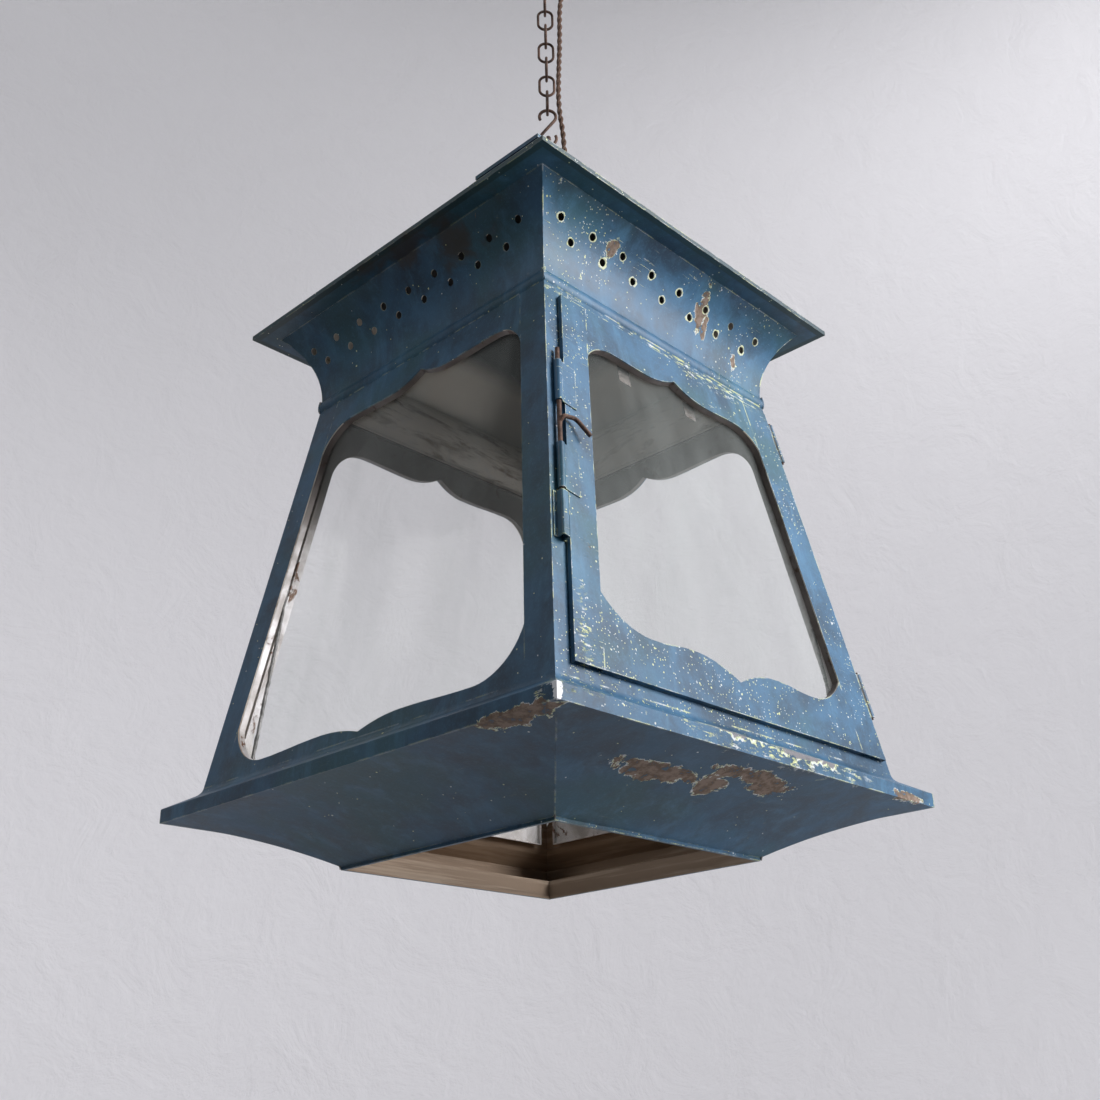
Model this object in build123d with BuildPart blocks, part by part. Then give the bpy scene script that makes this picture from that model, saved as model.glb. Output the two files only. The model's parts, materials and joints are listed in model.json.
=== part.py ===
from build123d import *
import os
from math import asin, atan, cos, degrees, pi, radians, sin, sqrt, tan

os.makedirs("parts", exist_ok=True)

# A tinplate hanging lantern: a tapering glazed body with a hinged door, a coved and vented crown,
# a hipped roof, and an open base. It hangs by an S-hook and a chain from a ceiling plate.
# Millimetres. The origin is the middle of the ceiling face; the lantern's own heights, written h,
# count up from the top edge of its bottom rim.

# ---- driving dimensions ----
drop = 907.0                # ceiling face down to the bottom rim's top edge
eye_offset = 7.8            # the eye stands off the lantern's middle towards the door's hinge corner
sheet = 1.0                 # tinplate
rim_half = 210.0            # half side of the bottom rim
rim_band = 10.8             # height of the rim's upright edge
low_h, low_half = 15.4, 188.1      # foot of the glazed body
seam_h, seam_half = 349.5, 135.8   # head of the glazed body, at the neck seam
post_width = 25.5           # flange of a corner post
cove_radius, cove_top_h = 90.0, 420.0
eave_half, eave_h = 181.5, 424.0   # the crown's outer edge
cap_half, cap_h = 38.0, 600.0      # flat cap on the roof
cap_skirt, cap_thick = 3.0, 1.2
mouth_half, mouth_h = 111.0, -46.5  # the opening in the base
door_proud = 4.0            # the door's front stands this far out from the body
glass = 2.0
lining_deep, pan_deep = 4.0, 3.5     # the lining of a window, and the pan that holds its pane

rim_z = -drop
centre = Vector(-eye_offset, eye_offset, rim_z)
taper = (low_half - seam_half) / (seam_h - low_h)
lean = atan(taper)
sides = {"front": -90, "right": 0, "back": 90, "left": 180}
corners = {"front_right": (1, -1), "back_right": (1, 1), "back_left": (-1, 1), "front_left": (-1, -1)}


def save(piece, name):
    piece.part.label = name
    export_step(piece.part, f"parts/{name}.step")


def half_at(h):
    return low_half - taper * (h - low_h)


def up(h):
    # distance up the sloping face for a height
    return h / cos(lean)


def outward(angle):
    return Vector(cos(radians(angle)), sin(radians(angle)), 0)


def level(h):
    return Plane(origin=centre + Vector(0, 0, h), x_dir=(1, 0, 0), z_dir=(0, 0, 1))


def face_plane(angle, off=0.0):
    # a side's sloping face: x along the side, y up the slope, z outward
    normal = outward(angle) * cos(lean) + Vector(0, 0, sin(lean))
    origin = centre + outward(angle) * half_at(0) + normal * off
    return Plane(origin=origin, x_dir=outward(angle + 90), z_dir=normal)


def profile_plane(angle):
    # an upright cut through a side: x outward from the lantern's axis, y up
    return Plane(origin=centre, x_dir=outward(angle), z_dir=outward(angle).cross(Vector(0, 0, 1)))


def quarter(angle):
    # the quarter of the lantern that belongs to one side, which mitres its sheets at the corners
    reach = 300
    base = Plane(origin=centre + Vector(0, 0, -100), x_dir=outward(angle), z_dir=(0, 0, 1))
    return extrude(base * Polygon((0, 0), (reach, -reach), (reach, reach), align=None), 900)


quarters = {side: quarter(angle) for side, angle in sides.items()}


def strip_outline(inset, h0, h1):
    # between the two corners, keeping a distance from both
    return [(-(half_at(h0) - inset), up(h0)), (half_at(h0) - inset, up(h0)),
            (half_at(h1) - inset, up(h1)), (-(half_at(h1) - inset), up(h1))]


def stile_outline(side, near, far, h0, h1):
    # along one corner, from the near to the far distance; side is -1 or 1
    return [(side * (half_at(h0) - near), up(h0)), (side * (half_at(h1) - near), up(h1)),
            (side * (half_at(h1) - far), up(h1)), (side * (half_at(h0) - far), up(h0))]


def window_face(inset, top, bottom):
    # a window with bracket-shaped head and foot: two lobes meet in a cusp at the middle, and each
    # runs out in a shallow double curve to a shoulder and then a round corner
    with BuildSketch(Plane.XY) as window:
        with BuildLine():
            for edge in (top, bottom):
                for s in (-1, 1):
                    lobe = (s * edge["lobe"], up(edge["lobe_h"]))
                    shoulder = (s * edge["shoulder"], up(edge["shoulder_h"]))
                    middle = ((lobe[0] + shoulder[0]) / 2, (lobe[1] + shoulder[1]) / 2)
                    end = (s * (half_at(edge["side_h"]) - inset), up(edge["side_h"]))
                    TangentArc(lobe, (0, up(edge["cusp_h"])), tangent=(-s, 0))
                    TangentArc(lobe, middle, tangent=(s, 0))
                    TangentArc(shoulder, middle, tangent=(-s, 0))
                    TangentArc(shoulder, end, tangent=(s, 0))
            for s in (-1, 1):
                Line((s * (half_at(top["side_h"]) - inset), up(top["side_h"])),
                     (s * (half_at(bottom["side_h"]) - inset), up(bottom["side_h"])))
        make_face()
    return window.sketch


def glazing(angle, back, window, inset, low, high):
    # a lining round the window behind a plate, with a pan on its back that holds the pane
    with BuildSketch() as lined:
        add(window)
        offset(amount=sheet, kind=Kind.INTERSECTION)
    pan_back = back - lining_deep - sheet
    with BuildPart() as tray:
        with BuildSketch(face_plane(angle, back)):
            add(lined.sketch)
            add(window, mode=Mode.SUBTRACT)
        extrude(amount=-lining_deep)
        with BuildSketch(face_plane(angle, back - lining_deep)):
            Polygon(*strip_outline(inset, low, high), align=None)
            add(window, mode=Mode.SUBTRACT)
        extrude(amount=-sheet)
        with BuildSketch(face_plane(angle, pan_back)):
            Polygon(*strip_outline(inset, low, high), align=None)
            Polygon(*strip_outline(inset + sheet, low + sheet, high - sheet), align=None,
                    mode=Mode.SUBTRACT)
        extrude(amount=-pan_deep)
    with BuildPart() as pane:
        with BuildSketch(face_plane(angle, pan_back)):
            Polygon(*strip_outline(inset + 1.5, low + 1.5, high - 1.5), align=None)
        extrude(amount=-glass)
    return tray, pane


side_head = {"lobe": 34, "lobe_h": 317.8, "shoulder": 86, "shoulder_h": 319, "side_h": 291, "cusp_h": 328}
side_foot = {"lobe": 43, "lobe_h": 26.5, "shoulder": 114, "shoulder_h": 24.2, "side_h": 57, "cusp_h": 20}
door_head = {"lobe": 37, "lobe_h": 300.3, "shoulder": 76, "shoulder_h": 301.5, "side_h": 285, "cusp_h": 310}
door_foot = {"lobe": 48, "lobe_h": 62, "shoulder": 92, "shoulder_h": 58.8, "side_h": 82, "cusp_h": 49.5}
door_stile = 40.0           # the door's window stands this far inside the corners

# ---- ceiling plate, hook and gland: the fixed end ----
plate_radius, plate_thick, plate_round = 45.0, 4.0, 2.5
screw_circle, screw_hole = 68.0, 2.25
gland_at = (19.4, -14.1)    # the gland stands beside the hook
gland_bore = 4.0
hook_wire, hook_radius = 4.0, 9.0
hook_centre_z = -27.0

with BuildPart() as ceiling_plate:
    with BuildSketch(Plane.XY):
        Circle(plate_radius)
    extrude(amount=-plate_thick)
    fillet(ceiling_plate.faces().sort_by(Axis.Z)[0].outer_wire().edges(), plate_round)
    with PolarLocations(screw_circle / 2, 3, start_angle=0):
        Hole(screw_hole)
    with Locations((0, 0)):
        Hole(hook_wire / 2)
    with Locations(gland_at):
        Hole(gland_bore)
save(ceiling_plate, "ceiling_plate")

# a plain wire hook, screwed through the plate; its mouth opens to one side
hook_plane = Plane(origin=(0, 0, 0), x_dir=(1, -1, 0), z_dir=(-1, -1, 0))
neck_z = hook_centre_z + hook_radius
with BuildPart() as ceiling_hook:
    with BuildLine(hook_plane):
        Line((0, 0), (0, neck_z))
        CenterArc((0, hook_centre_z), hook_radius, 90, -310)
    with BuildSketch(Plane.XY):
        Circle(hook_wire / 2)
    sweep(transition=Transition.ROUND)
save(ceiling_hook, "ceiling_hook")

gland_length, gland_head, gland_radius, gland_nose = 14.0, 4.0, 7.0, 5.2
with BuildPart() as flex_gland:
    with BuildSketch(Plane.XY.offset(-plate_thick)):
        with Locations(gland_at):
            Circle(gland_radius)
    extrude(amount=-gland_head)
    with BuildSketch(Plane.XY.offset(-plate_thick - gland_head)):
        with Locations(gland_at):
            Circle(gland_nose)
    extrude(amount=-(gland_length - gland_head), taper=6)
    with BuildSketch(Plane.XY.offset(-plate_thick)):
        with Locations(gland_at):
            Circle(gland_bore - 0.1)
    extrude(amount=plate_thick)
save(flex_gland, "flex_gland")

# ---- chain and S-hook ----
link_length, link_width, link_wire, link_pitch, link_count = 27.0, 17.0, 2.6, 21.5, 9
link_radius = (link_width - link_wire) / 2
link_straight = link_length - link_width
hook_inside_z = hook_centre_z - hook_radius + hook_wire / 2
link_gap = 0.2
first_link_z = hook_inside_z + link_wire + link_gap - link_length / 2

with BuildPart() as chain_links:
    for number in range(link_count):
        turn = 45 + 90 * (number % 2)
        link_plane = Plane(origin=(0, 0, first_link_z - number * link_pitch),
                           x_dir=outward(turn), z_dir=outward(turn - 90))
        with BuildLine(link_plane):
            Line((link_radius, -link_straight / 2), (link_radius, link_straight / 2))
            CenterArc((0, link_straight / 2), link_radius, 0, 180)
            Line((-link_radius, link_straight / 2), (-link_radius, -link_straight / 2))
            CenterArc((0, -link_straight / 2), link_radius, 180, 180)
        link_start = link_plane.from_local_coords(Vector(link_radius, -link_straight / 2, 0))
        with BuildSketch(Plane(origin=link_start, x_dir=outward(turn), z_dir=(0, 0, 1))):
            Circle(link_wire / 2)
        sweep()
save(chain_links, "chain_links")

shook_wire, shook_radius, shook_gap = 3.0, 8.0, 0.2
last_link_bottom = first_link_z - (link_count - 1) * link_pitch - link_length / 2
shook_top = last_link_bottom + link_wire + shook_wire + shook_gap
eye_top_h = 645.0
eye_wire, eye_radius = 5.0, 12.5
shook_bottom = rim_z + eye_top_h - eye_wire - shook_wire - shook_gap
upper_z = shook_top - shook_wire / 2 - shook_radius
lower_z = shook_bottom + shook_wire / 2 + shook_radius
slant = degrees(asin(2 * shook_radius / (upper_z - lower_z)))
shook_plane = Plane(origin=(0, 0, 0), x_dir=(1, -1, 0), z_dir=(-1, -1, 0))
tip = 205                   # degrees of arc at each end of the S
with BuildPart() as s_hook:
    with BuildLine(shook_plane):
        upper = CenterArc((0, upper_z), shook_radius, tip, -(tip + slant))
        lower = CenterArc((0, lower_z), shook_radius, 180 - slant, tip + slant)
        Line(upper @ 1, lower @ 0)
    with BuildSketch(Plane(origin=upper @ 0, z_dir=upper % 0)):
        Circle(shook_wire / 2)
    sweep()
save(s_hook, "s_hook")

# ---- flex: from the gland down beside the chain to the nipple in the cap ----
# route points: to the right of the chain and in front of it, seen from the door's latch corner,
# and the height above the rim
flex_diameter = 5.2
nipple_at = (26.0 - eye_offset * sqrt(2), 12.0)
right_of = Vector(1, -1, 0).normalized()
front_of = Vector(-1, -1, 0).normalized()
gland_h = drop - plate_thick - gland_length
gland_right = (gland_at[0] - gland_at[1]) / sqrt(2)
gland_front = -(gland_at[0] + gland_at[1]) / sqrt(2)
flex_route = [(gland_right, gland_front, gland_h), (gland_right, gland_front, 860),
              (14.5, 6.5, 815), (14.0, 5.0, 764), (11.5, 9.0, 716), (10.5, 11.5, 676),
              (nipple_at[0], nipple_at[1], 636), (nipple_at[0], nipple_at[1], cap_h + 6)]
flex_points = [right_of * r + front_of * f + Vector(0, 0, rim_z + h) for r, f, h in flex_route]
flex_radii = []
for before, point, after in zip(flex_points, flex_points[1:], flex_points[2:]):
    first = point - before
    second = after - point
    turn = radians(first.get_angle(second))
    flex_radii.append(0.45 * min(first.length, second.length) / tan(turn / 2))
with BuildPart() as flex:
    with BuildLine() as flex_line:
        FilletPolyline(*flex_points, radius=flex_radii)
    with BuildSketch(Plane(origin=flex_line.line @ 0, z_dir=flex_line.line % 0)):
        Circle(flex_diameter / 2)
    sweep()
flex_length = sum(edge.length for edge in flex_line.edges())
print("flex length", round(flex_length, 1), "radii", [round(r) for r in flex_radii])
flex_section = pi * flex_diameter ** 2 / 4
print("flex volume over section x length", round(flex.part.volume / (flex_section * flex_length), 4))
save(flex, "flex")

# ---- cap, eye and lamp ----
nipple_xy = right_of * nipple_at[0] + front_of * nipple_at[1]
nipple_spot = (nipple_xy.X, nipple_xy.Y)
nipple_local = (nipple_xy.X - centre.X, nipple_xy.Y - centre.Y)
eye_local = (-centre.X, -centre.Y)
shank_radius, nipple_radius, shank_below = 2.5, 5.0, 6.0
cap_outer, cap_inner = 2 * cap_half + 7.4, 2 * cap_half + 5

with BuildPart() as top_cap:
    with BuildSketch(level(cap_h - cap_skirt)):
        Rectangle(cap_outer, cap_outer)
    extrude(amount=cap_skirt + cap_thick)
    with BuildSketch(level(cap_h - cap_skirt)):
        Rectangle(cap_inner, cap_inner)
    extrude(amount=cap_skirt, mode=Mode.SUBTRACT)
    with BuildSketch(level(cap_h)):
        with Locations(eye_local):
            Circle(shank_radius + 0.05)
        with Locations(nipple_local):
            Circle(nipple_radius + 0.05)
    extrude(amount=4, mode=Mode.SUBTRACT)
save(top_cap, "top_cap")

cap_top_h = cap_h + cap_thick
eye_centre = Vector(0, 0, rim_z + eye_top_h - eye_wire / 2 - eye_radius)
with BuildPart() as eyebolt:
    with BuildLine(Plane(origin=eye_centre, x_dir=(1, 1, 0), z_dir=(1, -1, 0))) as eye_line:
        CenterArc((0, 0), eye_radius, -90, 360)
    with BuildSketch(Plane(origin=eye_line.line @ 0, z_dir=eye_line.line % 0)):
        Circle(eye_wire / 2)
    sweep()
    with BuildSketch(Plane.XY.offset(rim_z + cap_h - shank_below)):
        Circle(shank_radius)
    extrude(amount=eye_centre.Z - eye_radius - (rim_z + cap_h - shank_below))
save(eyebolt, "eyebolt")

nut_across, nut_tall, washer_radius, washer_thick = 10.0, 4.0, 9.0, 1.0
nipple_nut_half, nipple_nut_tall = 8.0, 3.0
with BuildPart() as cap_nuts:
    for h in (cap_top_h, cap_h - washer_thick - nut_tall):
        with BuildSketch(Plane.XY.offset(rim_z + h)):
            RegularPolygon(nut_across / 2, 6, major_radius=False)
            Circle(shank_radius, mode=Mode.SUBTRACT)
        extrude(amount=nut_tall)
    with BuildSketch(Plane.XY.offset(rim_z + cap_h - washer_thick)):
        Circle(washer_radius)
        Circle(shank_radius, mode=Mode.SUBTRACT)
    extrude(amount=washer_thick)
    with BuildSketch(Plane.XY.offset(rim_z + cap_h - nipple_nut_tall)):
        with Locations(nipple_spot):
            RegularPolygon(nipple_nut_half, 6, major_radius=False)
            Circle(nipple_radius, mode=Mode.SUBTRACT)
    extrude(amount=nipple_nut_tall)
save(cap_nuts, "cap_nuts")

nipple_below, nipple_length, nipple_flange = 16.0, 22.0, 7.5
with BuildPart() as flex_nipple:
    with BuildSketch(Plane.XY.offset(rim_z + cap_h - nipple_below)):
        with Locations(nipple_spot):
            Circle(nipple_radius)
    extrude(amount=nipple_length)
    with BuildSketch(Plane.XY.offset(rim_z + cap_top_h)):
        with Locations(nipple_spot):
            Circle(nipple_flange)
    extrude(amount=2.0)
    with BuildSketch(Plane.XY.offset(rim_z + cap_h - nipple_below)):
        with Locations(nipple_spot):
            Circle(flex_diameter / 2 - 0.2)
    extrude(amount=nipple_length, mode=Mode.SUBTRACT)
save(flex_nipple, "flex_nipple")


holder_radius, holder_length, holder_wall, holder_head = 17.0, 48.0, 3.0, 14.0
holder_top_h = cap_h - 6
holder_foot_z = rim_z + holder_top_h - holder_length
with BuildPart() as lamp_holder:
    with BuildSketch(Plane.XY.offset(holder_foot_z)):
        with Locations(nipple_spot):
            Circle(holder_radius)
    extrude(amount=holder_length)
    fillet(lamp_holder.edges().filter_by(GeomType.CIRCLE).sort_by(Axis.Z)[-1:], 7)
    with BuildSketch(Plane.XY.offset(holder_foot_z)):
        with Locations(nipple_spot):
            Circle(holder_radius - holder_wall)
    extrude(amount=holder_length - holder_head, mode=Mode.SUBTRACT)
    with BuildSketch(Plane.XY.offset(rim_z + cap_h - nipple_below)):
        with Locations(nipple_spot):
            Circle(nipple_radius)
    extrude(amount=nipple_below, mode=Mode.SUBTRACT)
save(lamp_holder, "lamp_holder")

# ---- roof, eave and crown ----
roof_foot, roof_wall = eave_half - 3.5, 1.3
for side in sides:
    with BuildPart() as roof:
        for h, half in ((eave_h, roof_foot), (cap_h, cap_half)):
            with BuildSketch(level(h)):
                Rectangle(2 * half, 2 * half)
        loft()
        for h, half in ((eave_h, roof_foot - roof_wall), (cap_h, cap_half - roof_wall)):
            with BuildSketch(level(h)):
                Rectangle(2 * half, 2 * half)
        loft(mode=Mode.SUBTRACT)
        add(quarters[side], mode=Mode.INTERSECT)
    save(roof, f"roof_{side}")

cove_end = asin((cove_top_h - seam_h - 5.5) / cove_radius)
cove_centre = (seam_half + cove_radius, seam_h + 5.5)
cove_lip = cove_centre[0] - cove_radius * cos(cove_end)

# the eave: a hem folded back under itself, all round the crown
with BuildPart() as eave_rim:
    for bottom, top, inner in ((cove_top_h, cove_top_h + sheet, cove_lip + 0.1),
                               (cove_top_h + sheet, eave_h - sheet, eave_half - sheet),
                               (eave_h - sheet, eave_h, roof_foot - 8)):
        with BuildSketch(level(bottom)):
            Rectangle(2 * eave_half, 2 * eave_half)
            Rectangle(2 * inner, 2 * inner, mode=Mode.SUBTRACT)
        extrude(amount=top - bottom)
save(eave_rim, "eave_rim")

# two staggered rows of vent holes in the two display sides; the left has one more in each row
vent_radius = 3.2
vent_rows = {"front": ((8, 35.2, -5, 400), (7, 36.0, -4, 388)),
             "left": ((9, 32.0, -6, 401), (8, 32.0, -9, 389)),
             "back": (), "right": ()}
for side, angle in sides.items():
    with BuildPart() as crown_cove:
        with BuildSketch(profile_plane(angle)):
            with BuildLine():
                start, sweep_angle = 180, -degrees(cove_end)
                outer = CenterArc(cove_centre, cove_radius, start, sweep_angle)
                inner = CenterArc(cove_centre, cove_radius + sheet, start, sweep_angle)
                Line(outer @ 1, inner @ 1)
                Polyline(outer @ 0, (seam_half, seam_h), (seam_half - sheet, seam_h), inner @ 0)
            make_face()
        extrude(amount=2 * eave_half, both=True)
        add(quarters[side], mode=Mode.INTERSECT)
        for count, pitch, shift, h in vent_rows[side]:
            tilt = asin((h - cove_centre[1]) / cove_radius)
            normal = outward(angle) * cos(tilt) - Vector(0, 0, sin(tilt))
            spot = (centre + outward(angle) * (cove_centre[0] - cove_radius * cos(tilt))
                    + Vector(0, 0, h))
            with BuildSketch(Plane(origin=spot, x_dir=outward(angle + 90), z_dir=normal)):
                with Locations((shift, 0)):
                    with GridLocations(pitch, 1, count, 1):
                        Circle(vent_radius)
            extrude(amount=3, both=True, mode=Mode.SUBTRACT)
    save(crown_cove, f"crown_cove_{side}")

# the neck band: a rounded bead over the seam
band_low, band_high, band_proud = seam_h - 5, seam_h + 6, 2.2
with BuildPart() as neck_band:
    for angle in sides.values():
        with BuildSketch(profile_plane(angle)):
            with BuildLine():
                Polyline((seam_half, band_high), (seam_half, seam_h), (half_at(band_low), band_low))
                ThreePointArc((seam_half, band_high), (seam_half + band_proud, seam_h + 0.5),
                              (half_at(band_low), band_low))
            make_face()
        extrude(amount=seam_half + band_proud, both=True)
    with BuildSketch(level(band_low - 1)):
        Rectangle(2 * (seam_half + band_proud), 2 * (seam_half + band_proud))
    extrude(amount=band_high - band_low + 2, mode=Mode.INTERSECT)
    for h, half in ((seam_h, seam_half), (band_low - 1, half_at(band_low - 1))):
        with BuildSketch(level(h)):
            Rectangle(2 * half, 2 * half)
    loft(mode=Mode.SUBTRACT)
    with BuildSketch(level(seam_h)):
        Rectangle(2 * seam_half, 2 * seam_half)
    extrude(amount=band_high - seam_h + 1, mode=Mode.SUBTRACT)
save(neck_band, "neck_band")

# ---- corner posts ----
for name, (sx, sy) in corners.items():
    with BuildPart() as post:
        for h, half in ((low_h, low_half), (seam_h, seam_half)):
            with BuildSketch(level(h)):
                Rectangle(2 * half, 2 * half)
        loft()
        for h, half in ((low_h, low_half), (seam_h, seam_half)):
            with BuildSketch(level(h)):
                Rectangle(2 * (half - sheet), 2 * (half - sheet))
        loft(mode=Mode.SUBTRACT)
        with BuildSketch(level(0)):
            with Locations((sx * low_half, sy * low_half)):
                Rectangle(2 * low_half, 2 * low_half)
        extrude(amount=seam_h + 10, mode=Mode.INTERSECT)
        for angle in sides.values():
            with BuildSketch(face_plane(angle, 2)):
                Polygon(*strip_outline(post_width, low_h - 5, seam_h + 5), align=None)
            extrude(amount=-12, mode=Mode.SUBTRACT)
    save(post, f"post_{name}")

# ---- the three fixed sides: scalloped plates, a glazing tray and its pane ----
side_window = window_face(post_width - 0.4, side_head, side_foot)
lining_window = window_face(post_width + 0.2, side_head, side_foot)
tray_inset, tray_low, tray_high = 17.0, 17.5, 343.0
for side, angle in sides.items():
    if side == "front":
        continue
    for part_name, h0, h1 in (("top", 200, seam_h), ("bottom", low_h, 200)):
        with BuildPart() as scallop:
            with BuildSketch(face_plane(angle)):
                Polygon(*strip_outline(post_width, h0, h1), align=None)
                add(side_window, mode=Mode.SUBTRACT)
            extrude(amount=-sheet)
        save(scallop, f"{side}_{part_name}_scallop")
    tray, pane = glazing(angle, -sheet, lining_window, tray_inset, tray_low, tray_high)
    save(tray, f"{side}_glazing_tray")
    save(pane, f"{side}_glass")

# ---- the doorway: head and sill strips between the front posts ----
door_low, door_high = 24.5, 334.0
for name, h0, h1 in (("front_header", 326.0, seam_h), ("front_sill", low_h, 33.0)):
    with BuildPart() as strip:
        with BuildSketch(face_plane(sides["front"])):
            Polygon(*strip_outline(post_width, h0, h1), align=None)
        extrude(amount=-sheet)
    save(strip, name)

# ---- base: skirts with the rim's upright edge, coved soffits and the mouth's collar ----
flare_slope = radians(28)
knee_h = (rim_half - half_at(0)) / (1 / tan(flare_slope) - taper)
knee = (half_at(knee_h), knee_h)
for side, angle in sides.items():
    with BuildPart() as skirt:
        with BuildSketch(profile_plane(angle)):
            with BuildLine() as skirt_line:
                FilletPolyline((low_half, low_h), knee, (rim_half, 0), (rim_half, -rim_band),
                               radius=[8, 1.2])
                offset(amount=sheet, side=Side.RIGHT)
            make_face()
        extrude(amount=rim_half + 10, both=True)
        add(quarters[side], mode=Mode.INTERSECT)
    save(skirt, f"skirt_{side}")
    with BuildPart() as soffit:
        with BuildSketch(profile_plane(angle)):
            with BuildLine():
                low = ThreePointArc((rim_half - sheet, -rim_band), (160, -24.5), (mouth_half + 1, mouth_h))
                high = ThreePointArc((rim_half - sheet, -rim_band + sheet), (160, -24.5 + sheet),
                                     (mouth_half + 1, mouth_h + sheet))
                Line(low @ 0, high @ 0)
                Line(low @ 1, high @ 1)
            make_face()
        extrude(amount=rim_half + 10, both=True)
        add(quarters[side], mode=Mode.INTERSECT)
    save(soffit, f"soffit_{side}")

collar_up = 13.0
with BuildPart() as mouth_collar:
    for h0, tall, half in ((mouth_h, collar_up, mouth_half + 1), (mouth_h - 2.4, 2.4, mouth_half + 1)):
        with BuildSketch(level(h0)):
            Rectangle(2 * half, 2 * half)
            thick = 1.2 if h0 == mouth_h else 2.6
            Rectangle(2 * (half - thick), 2 * (half - thick), mode=Mode.SUBTRACT)
        extrude(amount=tall)
save(mouth_collar, "mouth_collar")

# ---- hinge: its axis lies along the right corner, a little proud of the face ----
front = sides["front"]
across = Vector(1, 0, 0)
slope = Vector(0, sin(lean), cos(lean))
face_out = Vector(0, -cos(lean), sin(lean))
axis_inset, axis_proud = 4.2, 2.9
barrel, pin_radius, pin_clear = 2.4, 1.2, 0.05
edge_tilt = atan(taper * cos(lean))


def corner_plane(side, inset, proud):
    # z runs up a front corner edge, x points towards the latch side, y points outward
    origin = face_plane(front, proud).from_local_coords(Vector(side * (half_at(0) - inset), 0, 0))
    edge_way = across * (-side * sin(edge_tilt)) + slope * cos(edge_tilt)
    latchward = across * -cos(edge_tilt) - slope * (side * sin(edge_tilt))
    return Plane(origin=origin, x_dir=latchward, z_dir=edge_way)


def along(h):
    # distance up a corner edge for a height
    return up(h) / cos(edge_tilt)


hinge_plane = corner_plane(1, axis_inset, axis_proud)
knuckle_tall, knuckle_gap = 12.0, 0.4
hinge_heights = (72.0, 300.0)
print("hinge point m", [round(v / 1000, 5) for v in hinge_plane.origin],
      "axis", [round(v, 6) for v in hinge_plane.z_dir])

with BuildPart() as body_knuckles:
    for h in hinge_heights:
        with BuildSketch(hinge_plane.offset(along(h))):
            Circle(barrel)
            with Locations((-0.6, -axis_proud / 2)):
                Rectangle(1.2, axis_proud)
            Circle(pin_radius, mode=Mode.SUBTRACT)
        extrude(amount=knuckle_tall)
save(body_knuckles, "body_knuckles")

with BuildPart() as door_knuckles:
    for h in hinge_heights:
        for start in (-knuckle_tall - knuckle_gap, knuckle_tall + knuckle_gap):
            with BuildSketch(hinge_plane.offset(along(h) + start)):
                Circle(barrel)
                with Locations((1.55, door_proud - sheet / 2 - axis_proud)):
                    Rectangle(3.1, sheet)
                Circle(pin_radius + pin_clear, mode=Mode.SUBTRACT)
            extrude(amount=knuckle_tall)
save(door_knuckles, "door_knuckles")

with BuildPart() as hinge_pins:
    for h in hinge_heights:
        with BuildSketch(hinge_plane.offset(along(h) - knuckle_tall - 2)):
            Circle(pin_radius)
        extrude(amount=3 * knuckle_tall + 4)
save(hinge_pins, "hinge_pins")

# ---- door: a proud folded frame with its own tray and pane ----
latch_inset, hinge_inset = 13.5, axis_inset + 3.2
door_window = window_face(door_stile - 0.4, door_head, door_foot)
door_lining_window = window_face(door_stile + 0.2, door_head, door_foot)

for name, side, near in (("door_latch_stile", -1, latch_inset), ("door_hinge_stile", 1, hinge_inset)):
    with BuildPart() as stile:
        with BuildSketch(face_plane(front, door_proud)):
            Polygon(*stile_outline(side, near, door_stile, door_low, door_high), align=None)
        extrude(amount=-sheet)
        with BuildSketch(face_plane(front, door_proud - sheet)):
            Polygon(*stile_outline(side, near, near + sheet, door_low, door_high), align=None)
        extrude(amount=-(door_proud - sheet - 0.5))
    save(stile, name)

for name, h0, h1, edge0, edge1 in (("door_top_rail", 200, door_high, door_high - sheet, door_high),
                                   ("door_bottom_rail", door_low, 200, door_low, door_low + sheet)):
    with BuildPart() as rail:
        with BuildSketch(face_plane(front, door_proud)):
            Polygon(*strip_outline(door_stile, h0, h1), align=None)
            add(door_window, mode=Mode.SUBTRACT)
        extrude(amount=-sheet)
        with BuildSketch(face_plane(front, door_proud - sheet)):
            Polygon(*strip_outline(door_stile, edge0, edge1), align=None)
        extrude(amount=-(door_proud - sheet - 0.5))
    save(rail, name)

door_tray, door_pane = glazing(front, door_proud - sheet, door_lining_window, 29.0, 40.0, 320.0)
save(door_tray, "door_glazing_tray")
save(door_pane, "door_glass")

# ---- latch: a wire bolt in two folded sleeves on the door, over a keeper on the post ----
bolt_inset, bolt_proud, bolt_radius, bolt_clear = 8.0, 3.3, 1.7, 0.08
sleeve_radius = 2.8
latch_plane = corner_plane(-1, bolt_inset, bolt_proud)
sleeve_spans = ((228.0, 265.0), (152.0, 190.0))
keeper_span = (113.0, 149.0)
bolt_low, bolt_high = 151.5, 277.0
handle_h = 209.0
strap = 0.9
print("bolt axis down", [round(-v, 6) for v in latch_plane.z_dir])

with BuildPart() as bolt_sleeves:
    for h0, h1 in sleeve_spans:
        with BuildSketch(latch_plane.offset(along(h0))):
            Circle(sleeve_radius)
            with Locations((-8.0, door_proud + strap / 2 - bolt_proud)):
                Rectangle(16.0, strap)
            Circle(bolt_radius + bolt_clear, mode=Mode.SUBTRACT)
        extrude(amount=along(h1) - along(h0))
save(bolt_sleeves, "bolt_sleeves")

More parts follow.
